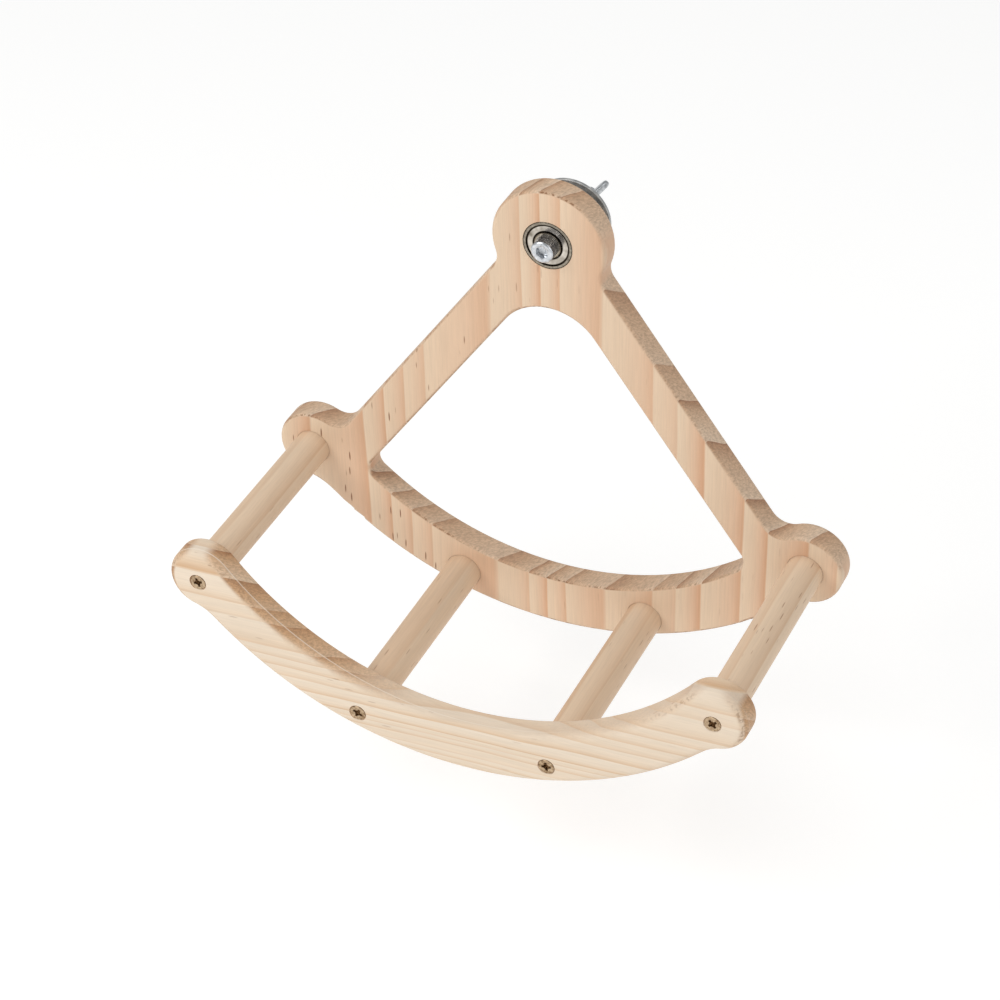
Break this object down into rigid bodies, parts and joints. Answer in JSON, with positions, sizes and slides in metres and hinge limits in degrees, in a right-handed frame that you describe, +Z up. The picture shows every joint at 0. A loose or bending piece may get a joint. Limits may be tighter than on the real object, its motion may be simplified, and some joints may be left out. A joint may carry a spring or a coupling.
{
  "type": "small-animal seesaw",
  "caption": "Hanging wooden seesaw for a small-animal cage: an A-shaped panel on a ball bearing, a curved rail, round rungs as the floor, and a bolt clamp with a wing nut.",
  "frame": {"origin": "centre of the inner clamp washer's rear face, where the part bears on the cage; it lies on the pivot", "axes": "+Y along the pivot and the clamp bolt, from the swing towards the cage; +Z up; +X to the right seen from the front rail"},
  "size_m": [0.2624, 0.15, 0.22],
  "materials": {
    "pine_panel": "bare sanded pine, grain along Z",
    "pine_rail": "bare sanded pine, grain along X",
    "dowel_wood": "bare planed pine dowel, grain along Y",
    "screw_steel": "yellow zinc plated",
    "bearing_steel": "ground and polished",
    "shield_steel": "pressed, bright",
    "ball_steel": "polished",
    "retainer_steel": "pressed strip",
    "zinc_steel": "bright zinc plated"
  },
  "bodies": {
    "cage_bolt": {"clamp_bolt": "zinc_steel", "bolt_sleeve": "zinc_steel", "bearing_inner_ring": "bearing_steel", "lock_nut": "zinc_steel", "inner_clamp_washer": "zinc_steel"},
    "swing": {"back_panel": "pine_panel", "bearing_outer_ring": "bearing_steel", "bearing_front_shield": "shield_steel", "bearing_rear_shield": "shield_steel", "dowel_outer_left": "dowel_wood", "dowel_inner_left": "dowel_wood", "dowel_inner_right": "dowel_wood", "dowel_outer_right": "dowel_wood", "front_rail": "pine_rail", "front_screws": "screw_steel", "rear_screws": "screw_steel"},
    "ball_cage": {"bearing_balls": "ball_steel", "bearing_ball_cage": "retainer_steel"},
    "outer_washer": {"outer_clamp_washer": "zinc_steel"},
    "wing_nut": {"wing_nut": "zinc_steel"}
  },
  "joints": [
    {"name": "swing_pivot", "type": "hinge", "parent": "cage_bolt", "child": "swing", "pos_m": [0, 0, 0], "axis": [0, 1, 0], "continuous": true},
    {"name": "ball_cage_spin", "type": "hinge", "parent": "cage_bolt", "child": "ball_cage", "pos_m": [0, 0, 0], "axis": [0, 1, 0], "continuous": true},
    {"name": "clamp_slide", "type": "slide", "parent": "cage_bolt", "child": "outer_washer", "axis": [0, 1, 0], "range_m": [-0.0089, 0.012]},
    {"name": "wing_nut_turn", "type": "hinge", "parent": "outer_washer", "child": "wing_nut", "pos_m": [0, 0.0106, 0], "axis": [0, 1, 0], "range_deg": [-3200, 4315]}
  ],
  "couplings": [
    {"joint": "ball_cage_spin", "follows": "swing_pivot", "ratio": 0.632},
    {"joint": "clamp_slide", "follows": "wing_nut_turn", "m_per_rad": 0.00015915}
  ]
}
